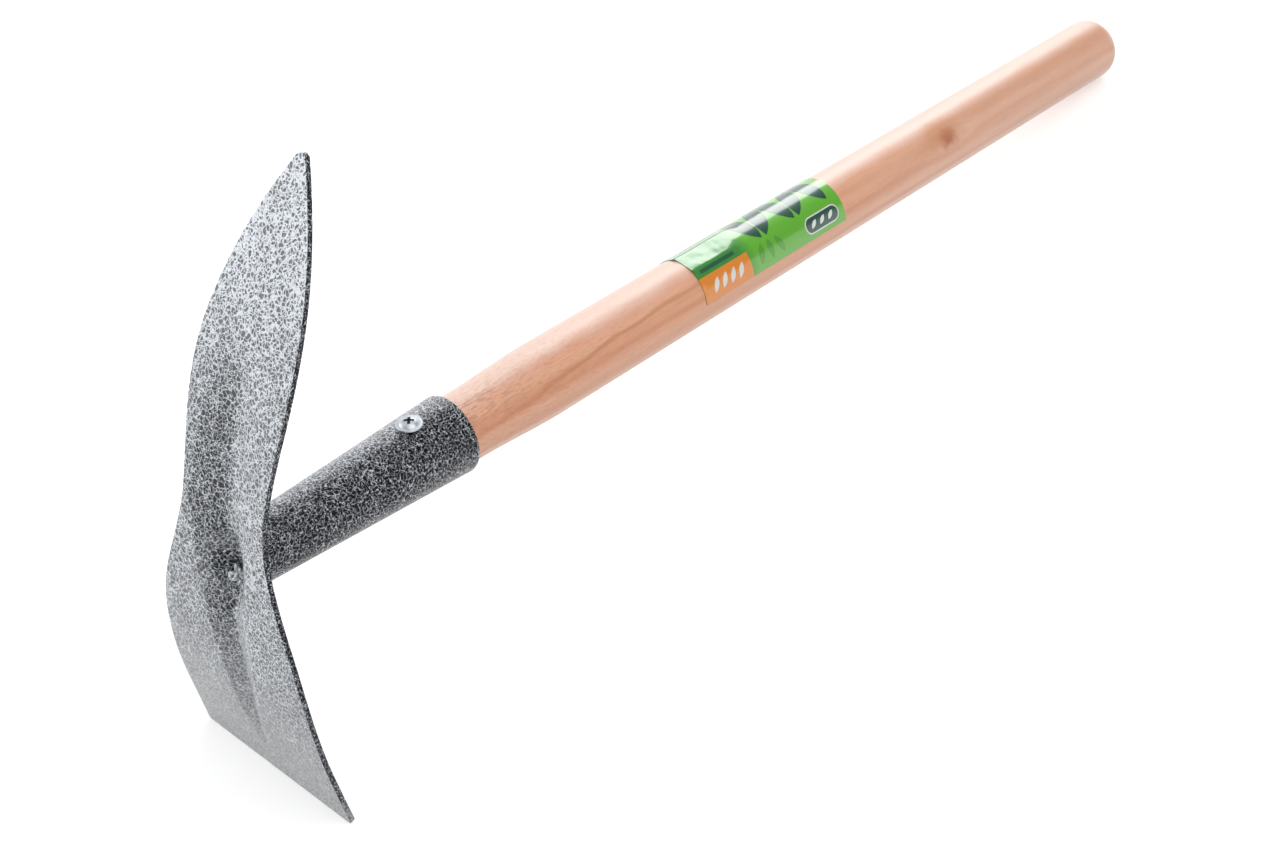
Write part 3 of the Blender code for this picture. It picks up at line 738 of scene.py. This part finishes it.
def turned_wood():
    finish, tree, shader = new_finish("turned wood")
    place = tool_place(tree)
    parts = add(tree, "SeparateXYZ", {"Vector": place}).outputs
    along = parts["X"]
    turn = number(tree, "ARCTAN2", parts["Y"], parts["Z"])
    where = (tree, place, along, turn)
    knot_radius = grip_radius(KNOT_FROM_MOUTH * MM) / MM
    knot_across = -knot_radius * math.sin(KNOT_TURN)
    knot = Vector((KNOT_FROM_MOUTH, knot_across, knot_radius * math.cos(KNOT_TURN)))
    from_knot = vector(tree, "SUBTRACT", place, knot)
    bent = round_knot(tree, place, from_knot)
    long_way = add(
        tree, "Mapping",
        {"Vector": bent, "Location": GRAIN_START, "Rotation": GRAIN_LEAN,
         "Scale": (GRAIN_LENGTH_SHARE, 1.0, 1.0)},
    ).outputs["Vector"]
    fibres = clouds(tree, long_way, 2.2, 3.0, 0.6)
    fibre_shade = grade(tree, fibres, FIBRE_STOPS)
    pore_way = vector(tree, "MULTIPLY", bent, (PORE_LENGTH_SHARE, 1.0, 1.0))
    pore_shade = grade(tree, clouds(tree, pore_way, 1.5, 1.0), PORE_STOPS)
    open_grain = carried(tree, along, *PORE_FADE, *PORE_STRENGTHS)
    colour = growth_rings(tree, long_way)
    colour = mixed(tree, FIBRE_STRENGTH, colour, fibre_shade, "MULTIPLY")
    # Painted sheen on top of the handle, and a paler far end
    colour = mixed(tree, painted_top_sheen_and_pale_end(*where), colour, paint(PAINTED_SHEEN_PALE_END_COLOUR))
    colour = mixed(tree, open_grain, colour, pore_shade, "MULTIPLY")
    colour = mixed(tree, brown_streak(*where), colour, paint(STREAK_COLOUR))
    colour = mixed(tree, far_band(*where), colour, paint(FAR_BAND_COLOUR))
    colour = knotted(tree, place, from_knot, colour)
    colour = mixed(tree, crushed_fibres(*where), colour, paint(CRUSHED_COLOUR))
    bump = add(tree, "Bump", {"Height": fibres, "Strength": 0.25, "Distance": FIBRE_DEPTH})
    feed(tree, shader, {
        "Base Color": colour,
        "Roughness": 0.5,
        "Coat Weight": 0.7,
        "Coat Roughness": 0.42,
        "Coat IOR": 1.6,
        "Sheen Weight": 0.35,
        "Sheen Roughness": 0.4,
        "Normal": bump.outputs["Normal"],
    })
    return finish


fit(turned_handle(), "handle", [turned_wood()])


# Screw
# A zinc-plated steel wood screw with a low domed head and a cross recess, driven through the
# socket's wall so that the handle can't turn or slip out.

SCREW_FROM_MOUTH = 21 * MM
SCREW_LENGTH = 20 * MM
SHANK_DIAMETER = 4.2 * MM
POINT_LENGTH = 4 * MM
HEAD_DIAMETER = 10.6 * MM
HEAD_HEIGHT = 2.4 * MM
FLANGE_THICKNESS = 0.8 * MM
CROWN_DIAMETER = 8 * MM
RECESS_SPAN = 6.2 * MM
RECESS_SLOT = 1.35 * MM
RECESS_DEPTH = 1.7 * MM
RECESS_FLOOR_SPAN_SHARE = 0.45
RECESS_FLOOR_SLOT_SHARE = 0.75
RECESS_EYE = 1.1 * MM
RECESS_EDGE = 0.08 * MM
SCREW_SIDES = 64
EYE_SIDES = 24
CROWN_STEPS = 14
FLANGE_STEPS = 8
SOCKET_MOUTH_DIAMETER = 33 * MM
SOCKET_NECK_DIAMETER = 23.5 * MM
SOCKET_LENGTH = 111 * MM
SEAT_GAP = 0.3 * MM
BLOOM_SCALE = 900.0
BLOOM_ROUGHNESS = 0.06
ZINC_COLOURS = ((196, 201, 208), (218, 222, 228))
# Dark matt colours inside the cross recess, as painted shade
RECESS_PAINTED_SHADE_COLOURS = ((40, 42, 46), (66, 69, 73))


def turned_mesh(name, profile, sides):
    """A closed solid from a profile of radius and height that starts and ends on the axis."""
    bm = bmesh.new()
    top = bm.verts.new((0.0, 0.0, profile[0][1]))
    bottom = bm.verts.new((0.0, 0.0, profile[-1][1]))
    turns = [2 * math.pi * i / sides for i in range(sides)]
    loops = []
    for radius, height in profile[1:-1]:
        loop = [bm.verts.new((radius * math.cos(t), radius * math.sin(t), height)) for t in turns]
        loops.append(loop)
    for i in range(sides):
        j = (i + 1) % sides
        bm.faces.new((top, loops[0][i], loops[0][j]))
        bm.faces.new((bottom, loops[-1][j], loops[-1][i]))
        for high, low in zip(loops, loops[1:]):
            bm.faces.new((high[i], low[i], low[j], high[j]))
    bmesh.ops.recalc_face_normals(bm, faces=bm.faces[:])
    return finished_mesh(bm, name)


def recess_wing():
    """One wing pair of the cross recess, narrower and shorter at its floor."""
    bm = bmesh.new()
    bmesh.ops.create_cube(bm, size=1.0)
    for vert in bm.verts:
        top = vert.co.z > 0
        span = RECESS_SPAN if top else RECESS_SPAN * RECESS_FLOOR_SPAN_SHARE
        slot = RECESS_SLOT if top else RECESS_SLOT * RECESS_FLOOR_SLOT_SHARE
        height = HEAD_HEIGHT + (RECESS_DEPTH if top else -RECESS_DEPTH)
        vert.co = (vert.co.x * span, vert.co.y * slot, height)
    return finished_mesh(bm, "recess_wing")


def recess_cutters():
    """Two crossed wing pairs and the eye between them, which cut the recess."""
    cutters = []
    for turn in (45, 135):
        wing = placed("recess_wing", recess_wing())
        wing.rotation_euler = (0.0, 0.0, math.radians(turn))
        cutters.append(wing)
    top = HEAD_HEIGHT + RECESS_DEPTH
    floor = HEAD_HEIGHT - RECESS_DEPTH
    point = HEAD_HEIGHT - RECESS_DEPTH * 1.1
    eye = [(0.0, top), (RECESS_EYE, top), (RECESS_EYE / 4, floor), (0.0, point)]
    cutters.append(placed("recess_eye", turned_mesh("recess_eye", eye, EYE_SIDES)))
    return cutters


def zinc_plating(name, colours, roughness, metallic):
    finish, tree, shader = new_finish(name)
    place = add(tree, "TexCoord", {}).outputs["Object"]
    bloom = clouds(tree, place, BLOOM_SCALE, 3.0)
    low = roughness - BLOOM_ROUGHNESS
    feed(tree, shader, {
        "Base Color": grade(tree, bloom, list(zip((0.35, 0.7), colours))),
        "Metallic": metallic,
        "Roughness": carried(tree, bloom, 0.3, 0.7, low, roughness + BLOOM_ROUGHNESS),
    })
    return finish


def crown_ball():
    """Radius of the ball that the crown of the head is cut from."""
    crown = CROWN_DIAMETER / 2
    rise = HEAD_HEIGHT - FLANGE_THICKNESS
    return (crown ** 2 + rise ** 2) / (2 * rise)


def screw_profile():
    """Radius and height of the screw, from the top of its head down to its point."""
    ball = crown_ball()
    reach = math.asin(CROWN_DIAMETER / 2 / ball)
    profile = [(0.0, HEAD_HEIGHT)]
    for i in range(1, CROWN_STEPS + 1):
        angle = reach * i / CROWN_STEPS
        profile.append((ball * math.sin(angle), HEAD_HEIGHT - ball * (1 - math.cos(angle))))
    bulge = FLANGE_THICKNESS / 2
    rim = HEAD_DIAMETER / 2 - bulge
    for i in range(FLANGE_STEPS + 1):
        angle = math.pi / 2 - math.pi * i / FLANGE_STEPS
        profile.append((rim + bulge * math.cos(angle), bulge + bulge * math.sin(angle)))
    shank = SHANK_DIAMETER / 2
    return profile + [(shank, 0.0), (shank, POINT_LENGTH - SCREW_LENGTH), (0.0, -SCREW_LENGTH)]


def zinc_screw():
    screw = placed("screw_dressed", turned_mesh("screw_dressed", screw_profile(), SCREW_SIDES))
    cutters = recess_cutters()
    for cutter in cutters:
        cut = screw.modifiers.new(cutter.name, "BOOLEAN")
        cut.operation = "DIFFERENCE"
        cut.object = cutter
    bpy.context.view_layer.update()
    ready = screw.evaluated_get(bpy.context.evaluated_depsgraph_get())
    finished = bpy.data.meshes.new_from_object(ready)
    screw.modifiers.clear()
    screw.data = finished
    for cutter in cutters:
        bpy.data.objects.remove(cutter)
    finished.materials.clear()
    finished.materials.append(zinc_plating("zinc plating", ZINC_COLOURS, 0.46, 0.8))
    # The cross recess gets a dark matt finish as painted shade
    finished.materials.append(zinc_plating("zinc recess painted shade", RECESS_PAINTED_SHADE_COLOURS, 0.6, 0.1))
    ball = crown_ball()
    for face in finished.polygons:
        out = math.hypot(face.center.x, face.center.y)
        crown_height = HEAD_HEIGHT - ball + math.sqrt(ball ** 2 - out ** 2)
        if out < RECESS_SPAN / 2 and 0 < face.center.z < crown_height - RECESS_EDGE:
            face.material_index = 1
    taper = math.atan2(SOCKET_MOUTH_DIAMETER - SOCKET_NECK_DIAMETER, 2 * SOCKET_LENGTH)
    wall = SOCKET_MOUTH_DIAMETER / 2 - SCREW_FROM_MOUTH * math.tan(taper)
    seat = Vector((-SCREW_FROM_MOUTH, 0.0, wall + SEAT_GAP / math.cos(taper)))
    finished.transform(tool_axes @ Matrix.Translation(seat) @ Matrix.Rotation(-taper, 4, "Y"))
    finished.shade_smooth()
    finished.set_sharp_from_angle(angle=CREASE_ANGLE)
    return screw


fit(zinc_screw(), "screw", [])


# Label
# A strip of clear-coated plastic film printed in greens and orange and stuck round the top
# and both sides of the handle. The print is plain leaf and sprout motifs.

CREASE_HEIGHT = 2.2 * MM

# From here, lengths are in millimetres. Those on the film go along from its socket end and up
# from its near edge
LABEL_START = 132
LABEL_LENGTH = 91.5
LABEL_NEAR_EDGE = math.radians(80)
LABEL_WRAP = math.radians(220)
LABEL_SKEW = 0.035
FILM_THICKNESS = 0.2
FILM_LIFT = 0.08
INK_THICKNESS = 0.02
FOLD_STEP = 0.8
LIFT_TURN = math.radians(-4)
LIFT_HALF = 0.34
LIFT_RETURN = 0.26
LIFT_LENGTH = 24
LIFT_WAVE = 5
LIFT_FADE = 12
LIFT_STEP = 2
CREASE_SPAN = (0.3, 0.55)
CREASE_STRENGTHS = (0.5, 0.1)
COLOUR_CHANGE = (0.30, 0.38)
FILM_GREENS = ((58, 148, 54), (104, 192, 46))
SHADED_GREENS = ((52, 136, 48), (84, 168, 42))
DARK_GREENS = ((12, 96, 60), (4, 78, 60))
ORANGE = (246, 148, 40)
WHITE = (240, 240, 236)
ORANGE_BLOCK = (0.0, 0.0, 30, 11)
STEM_BAND = (3.0, 12.6, 24.0, 14.2)
BADGE_MIDDLE = (77, 6.2)
BADGE_LENGTH = 22
BADGE_HEIGHT = 7.6
BADGE_RIM = 0.6
LEAF_STEPS = 16
PILL_STEPS = 12
# Rows of leaves: count, middle of the first, step, length, breadth and turns in degrees
FAINT_LEAVES = (3, (37.5, 6.8), 6.0, 9.0, 3.4, (70, 90, 110))
LEAVES = (5, (38, 23.5), 10.8, 23, 9, (110, 70))
SPROUTS = (4, (8, 5.6), 5.2, 6.8, 2.6, (58,))
BADGE_LEAVES = (3, (71.5, 6.2), 5.5, 4.8, 2.0, (40,))


def lifted(u, turn):
    """Height of the film off the wood where it stands flat between two creases, by the socket."""
    aside = abs(turn - LIFT_TURN)
    if aside < LIFT_HALF:
        height = MEAN_RADIUS * aside ** 2 / 2
    else:
        back = min((aside - LIFT_HALF) / LIFT_RETURN, 1.0)
        height = MEAN_RADIUS * LIFT_HALF ** 2 / 2 * (1 - back) ** 2
    left = (LIFT_LENGTH + LIFT_FADE - u + LIFT_WAVE * math.sin(3 * turn)) / LIFT_FADE
    along = min(max(left, 0.0), 1.0)
    return height * along * along * (3 - 2 * along)


def on_film(u, v, height):
    """Place on the tool of a point u along the label and v up from its near edge."""
    wrapped = v / MEAN_RADIUS
    turn = wrapped - LABEL_NEAR_EDGE
    x = LABEL_START + u + LABEL_SKEW * MEAN_RADIUS * wrapped
    radius = grip_radius(x * MM) / MM + height + lifted(u, turn)
    return tool_axes @ (Vector((x, radius * math.sin(turn), radius * math.cos(turn))) * MM)


def film_patch(name, outline, lift, thickness):
    """A flat outline of u and v, folded round the handle at a lift and given a thickness."""
    bm = bmesh.new()
    bm.faces.new([bm.verts.new((u, v, 0.0)) for u, v in outline])
    low = min(v for u, v in outline)
    high = max(v for u, v in outline)
    first = min(u for u, v in outline)
    last = max(u for u, v in outline)
    cuts = [((0.0, v, 0.0), (0.0, 1.0, 0.0)) for v in spaced(low, high, FOLD_STEP)[1:-1]]
    cuts += [((u, 0.0, 0.0), (1.0, 0.0, 0.0)) for u in spaced(first, last, LIFT_STEP)[1:-1]]
    for point, normal in cuts:
        whole = bm.verts[:] + bm.edges[:] + bm.faces[:]
        bmesh.ops.bisect_plane(bm, geom=whole, plane_co=point, plane_no=normal)
    bmesh.ops.triangulate(bm, faces=[face for face in bm.faces if len(face.verts) > 4])
    for vert in bm.verts:
        vert.co = on_film(vert.co.x, vert.co.y, lift)
    mesh = finished_mesh(bm, name)
    mesh.shade_smooth()
    patch = placed(name, mesh)
    body = patch.modifiers.new("thickness", "SOLIDIFY")
    body.thickness = thickness * MM
    body.offset = 1
    bpy.context.view_layer.update()
    ready = patch.evaluated_get(bpy.context.evaluated_depsgraph_get())
    patch.data = bpy.data.meshes.new_from_object(ready)
    patch.modifiers.clear()
    patch.data.set_sharp_from_angle(angle=CREASE_ANGLE)
    return patch


def leaf_outline(u, v, length, breadth, turn):
    """A pointed leaf round its middle, from two equal arcs."""
    radius = (length ** 2 + breadth ** 2) / (4 * breadth)
    half = math.asin(length / (2 * radius))
    points = []
    for side in (1, -1):
        for i in range(LEAF_STEPS):
            angle = half * (1 - 2 * i / LEAF_STEPS) * side
            x = radius * math.sin(angle)
            y = (radius * math.cos(angle) - radius + breadth / 2) * side
            points.append((
                u + x * math.cos(turn) - y * math.sin(turn),
                v + x * math.sin(turn) + y * math.cos(turn),
            ))
    return points


def leaf_row(name, row):
    """Names and outlines of a row of leaves."""
    count, (u, v), step, length, breadth, turns = row
    leaves = []
    for i in range(count):
        turn = math.radians(turns[i % len(turns)])
        leaves.append((f"{name}_{i}", leaf_outline(u + step * i, v, length, breadth, turn)))
    return leaves


def band_outline(u0, v0, u1, v1):
    return [(u0, v0), (u1, v0), (u1, v1), (u0, v1)]


def pill_outline(u, v, length, height):
    points = []
    for side, start in ((1, -90), (-1, 90)):
        for i in range(PILL_STEPS + 1):
            angle = math.radians(start + 180 / PILL_STEPS * i)
            points.append((
                u + side * (length - height) / 2 + height / 2 * math.cos(angle),
                v + height / 2 * math.sin(angle),
            ))
    return points


def printed_film(name, by_socket, past_fold):
    """Print under a clear glossy layer, in one colour by the socket and another past the fold."""
    finish, tree, shader = new_finish(name)
    place = tool_place(tree)
    along = add(tree, "SeparateXYZ", {"Vector": place}).outputs["X"]
    share = carried(tree, along, LABEL_START, LABEL_START + LABEL_LENGTH)
    creased = carried(tree, share, *CREASE_SPAN, *CREASE_STRENGTHS)
    waves = number(tree, "MULTIPLY", clouds(tree, place, 0.085, 1.5), creased)
    bump = add(tree, "Bump", {"Height": waves, "Strength": 0.8, "Distance": CREASE_HEIGHT})
    feed(tree, shader, {
        "Base Color": grade(tree, share, list(zip(COLOUR_CHANGE, (by_socket, past_fold)))),
        "Roughness": 0.35,
        "Coat Weight": 1.0,
        "Coat Roughness": 0.15,
        "Coat IOR": 1.6,
        "Normal": bump.outputs["Normal"],
        "Coat Normal": bump.outputs["Normal"],
    })
    return finish


def dress_label():
    green = printed_film("green film", *FILM_GREENS)
    shade = printed_film("shaded green ink", *SHADED_GREENS)
    dark = printed_film("dark green ink", *DARK_GREENS)
    orange = printed_film("orange ink", ORANGE, ORANGE)
    white = printed_film("white ink", WHITE, WHITE)
    film = band_outline(0, 0, LABEL_LENGTH, MEAN_RADIUS * LABEL_WRAP)
    fit(film_patch("label_dressed", film, FILM_LIFT, FILM_THICKNESS), "label", [green])
    badge_rim = pill_outline(*BADGE_MIDDLE, BADGE_LENGTH, BADGE_HEIGHT)
    inside = 2 * BADGE_RIM
    badge = pill_outline(*BADGE_MIDDLE, BADGE_LENGTH - inside, BADGE_HEIGHT - inside)
    layers = [
        (0, orange, [("orange_block", band_outline(*ORANGE_BLOCK))]),
        (0, dark, [("stem_band", band_outline(*STEM_BAND))]),
        (0, shade, leaf_row("faint_leaf", FAINT_LEAVES)),
        (0, dark, leaf_row("leaf", LEAVES)),
        (0, white, [("badge_rim", badge_rim)]),
        (1, dark, [("badge", badge)]),
        (1, white, leaf_row("sprout", SPROUTS)),
        (2, white, leaf_row("badge_leaf", BADGE_LEAVES)),
    ]
    for layer, ink, prints in layers:
        lift = FILM_LIFT + FILM_THICKNESS + layer * INK_THICKNESS
        for name, outline in prints:
            fit(film_patch(name, outline, lift, INK_THICKNESS), "label", [ink])


dress_label()


# Floor
# A plain pale sheet under the tool, which keeps its shadow. It is wide enough to fill the
# view, and far off it rises at its edges, so that low views end on it too.

FLOOR_WIDTH = 60.0
FLOOR_RISE = 6.0
FLOOR_COLOUR = (0.75, 0.75, 0.75, 1.0)
FLOOR_GLOW = 0.52
FAR_GLOW = 0.85
GLOW_START = 0.6
GLOW_END = 2.5


def glowing_sheet():
    """A pale sheet that glows to the eye and in reflections, but lights nothing."""
    finish, tree, shader = new_finish("pale floor")
    tree.nodes.remove(shader)
    rays = add(tree, "LightPath", {})
    seen = number(tree, "MAXIMUM", rays.outputs["Is Camera Ray"], rays.outputs["Is Glossy Ray"])
    seen = number(tree, "MAXIMUM", seen, rays.outputs["Is Transmission Ray"])
    place = add(tree, "TexCoord", {}).outputs["Object"]
    away = vector(tree, "LENGTH", place)
    strength = carried(tree, away, GLOW_START, GLOW_END, FLOOR_GLOW, FAR_GLOW)
    glow = add(tree, "Emission", {
        "Color": (1.0, 1.0, 1.0, 1.0), "Strength": number(tree, "MULTIPLY", seen, strength),
    })
    sheet = add(tree, "BsdfDiffuse", {"Color": FLOOR_COLOUR})
    both = add(tree, "AddShader", {0: sheet.outputs[0], 1: glow.outputs[0]})
    tree.links.new(both.outputs[0], tree.nodes["Material Output"].inputs["Surface"])
    return finish


def pale_floor():
    bm = bmesh.new()
    bmesh.ops.create_grid(bm, x_segments=3, y_segments=3, size=FLOOR_WIDTH / 2)
    past_inner_corners = FLOOR_WIDTH / 4
    for vert in bm.verts:
        if max(abs(vert.co.x), abs(vert.co.y)) > past_inner_corners:
            vert.co.z = FLOOR_RISE
    mesh = finished_mesh(bm, "floor")
    mesh.materials.append(glowing_sheet())
    floor = placed("floor", mesh)


pale_floor()


# Light
# A broad panel overhead, one on the far left, a smaller one on the right, and a surround that
# is pale on the far side of the tool and dim on the near side.

DIM_SIDE = 0.20
PALE_SIDE = 0.6
PALE_SIDE_LEAN = 0.6
TO_PALE_SIDE = Vector((0.0, 0.95, 0.31))
TOOL_MIDDLE = Vector((0.0, 0.0, 0.07))
# Panels: name, direction from the tool, distance, width, height and power
PANELS = [
    ("left panel", Vector((-0.52, 0.79, 0.30)), 1.5, 1.0, 1.0, 8.5),
    ("top panel", Vector((0.10, -0.45, 0.88)), 1.4, 1.2, 1.2, 10.5),
    ("right panel", Vector((0.765, 0.50, 0.40)), 1.5, 0.6, 0.6, 6.0),
]


def soft_surround():
    world = bpy.data.worlds.new("surround")
    bpy.context.scene.world = world
    world.use_nodes = True
    tree = world.node_tree
    towards = add(tree, "TexCoord", {}).outputs["Generated"]
    facing = vector(tree, "DOT_PRODUCT", towards, TO_PALE_SIDE)
    strength = carried(tree, facing, 0.0, PALE_SIDE_LEAN, DIM_SIDE, PALE_SIDE, eased=True)
    feed(tree, tree.nodes["Background"], {"Color": (1.0, 1.0, 1.0, 1.0), "Strength": strength})


def light_panels():
    for name, direction, distance, width, height, power in PANELS:
        panel = bpy.data.lights.new(name, "AREA")
        panel.shape = "RECTANGLE"
        panel.size = width
        panel.size_y = height
        panel.energy = power
        stand = placed(name, panel)
        stand.location = TOOL_MIDDLE + direction.normalized() * distance
        stand.rotation_euler = (-direction).to_track_quat("-Z", "Y").to_euler()


soft_surround()
light_panels()


# Camera
# The place, aim and tilt of the camera that took the photograph.

CAMERA_PLACE = Vector((-0.5590, -0.5675, 0.7690))
CAMERA_AIM = Vector((-0.0468, 0.0138, 0.0))
CAMERA_ROLL = math.radians(-8.64)
CAMERA_LENS = 70.3


def photograph_camera():
    camera = bpy.data.cameras.new("camera")
    camera.lens = CAMERA_LENS
    stand = placed("camera", camera)
    aim = (CAMERA_AIM - CAMERA_PLACE).to_track_quat("-Z", "Y")
    stand.location = CAMERA_PLACE
    stand.rotation_mode = "QUATERNION"
    stand.rotation_quaternion = aim @ Quaternion((0.0, 0.0, 1.0), CAMERA_ROLL)
    bpy.context.scene.camera = stand
    bpy.context.scene.view_settings.view_transform = "Standard"


photograph_camera()
